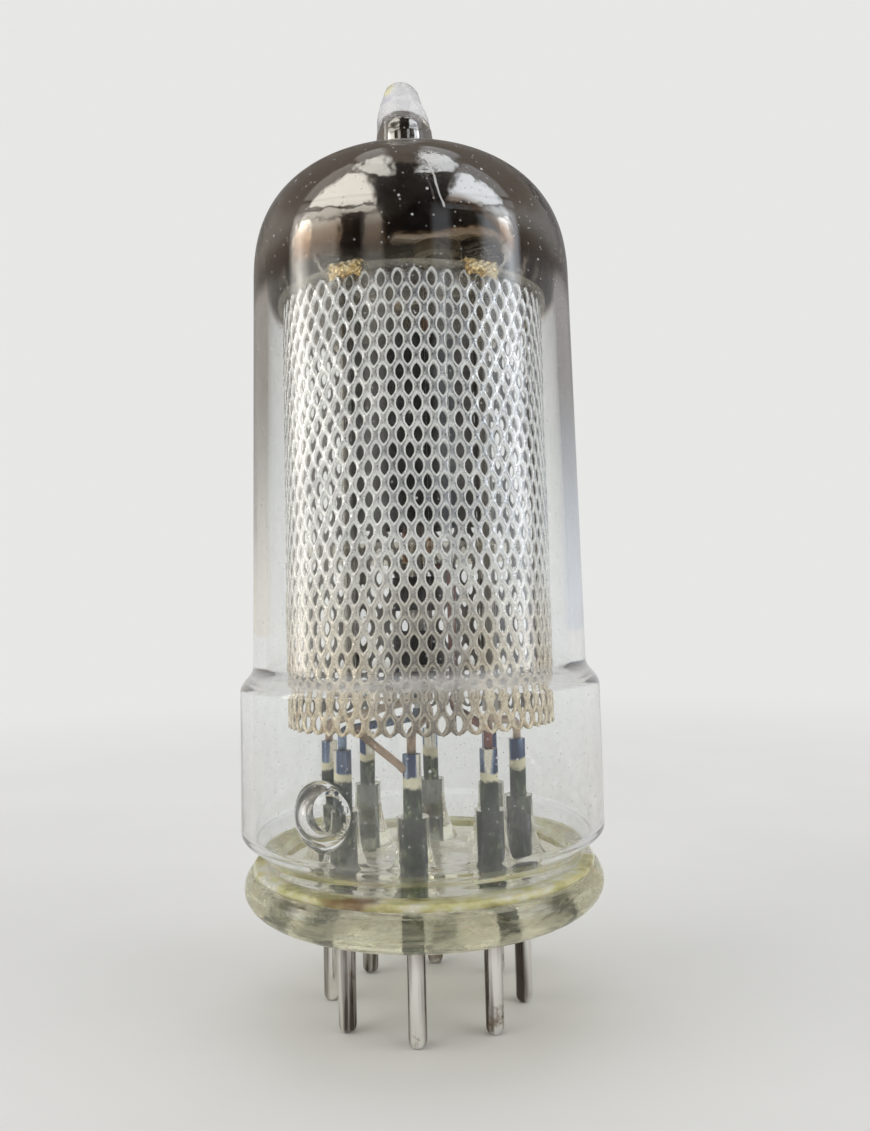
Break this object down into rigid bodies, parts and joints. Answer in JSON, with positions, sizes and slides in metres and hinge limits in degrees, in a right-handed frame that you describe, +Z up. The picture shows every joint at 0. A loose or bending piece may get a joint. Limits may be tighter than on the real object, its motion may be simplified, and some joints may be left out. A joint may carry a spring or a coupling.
{
  "type": "double-diode triode vacuum tube",
  "caption": "All-glass electron tube on round base pins, with a domed bulb, an exhaust tip, a locating pip and a cylindrical mesh shield round its electrodes.",
  "frame": {"origin": "on the tube axis, in the plane of the pin tips that the tube stands on", "axes": "+Z up along the tube axis towards the exhaust tip, -Y towards the locating pip on the skirt"},
  "size_m": [0.0215, 0.0225, 0.0564],
  "materials": {
    "bulb_glass": "clear, faintly hazed",
    "base_glass": "clear, faintly yellow",
    "enamel": "translucent yellow-green",
    "pin_metal": "bright, slightly stained",
    "shield_metal": "silver grey, gold at the foot",
    "mica": "translucent",
    "anode_metal": "dark grey",
    "nickel": "satin",
    "copper": "satin",
    "heater_coat": "matt white",
    "clip_metal": "tan, heat tinted",
    "red_wire": "dark red-brown oxide",
    "cream_wire": "cream oxide",
    "brown_wire": "brown oxide",
    "blue_wire": "blue heat tint",
    "getter_mirror": "dark mirror, brown at its edge"
  },
  "bodies": {
    "root": {"glass_bulb": "bulb_glass", "glass_base": "base_glass", "enamel_seal": "enamel", "pin_1": "pin_metal", "pin_2": "pin_metal", "pin_3": "pin_metal", "pin_4": "pin_metal", "pin_5": "pin_metal", "pin_6": "pin_metal", "pin_7": "pin_metal", "pin_8": "pin_metal", "mesh_shield": "shield_metal", "top_mica": "mica", "middle_mica": "mica", "bottom_mica": "mica", "triode_anode": "anode_metal", "grid_rod_1": "copper", "grid_rod_2": "copper", "grid_winding": "nickel", "cathode_sleeve": "nickel", "heater": "heater_coat", "diode_plate_1": "anode_metal", "diode_plate_2": "anode_metal", "support_rod_1": "nickel", "support_rod_2": "nickel", "mica_clips": "clip_metal", "heater_lead_1": "red_wire", "heater_lead_2": "red_wire", "grid_lead": "cream_wire", "anode_lead": "brown_wire", "shield_lead": "brown_wire", "diode_lead_1": "blue_wire", "diode_lead_2": "blue_wire", "cathode_lead": "cream_wire", "getter_wire": "nickel", "getter_ring": "cream_wire", "getter_film": "getter_mirror"}
  },
  "joints": []
}
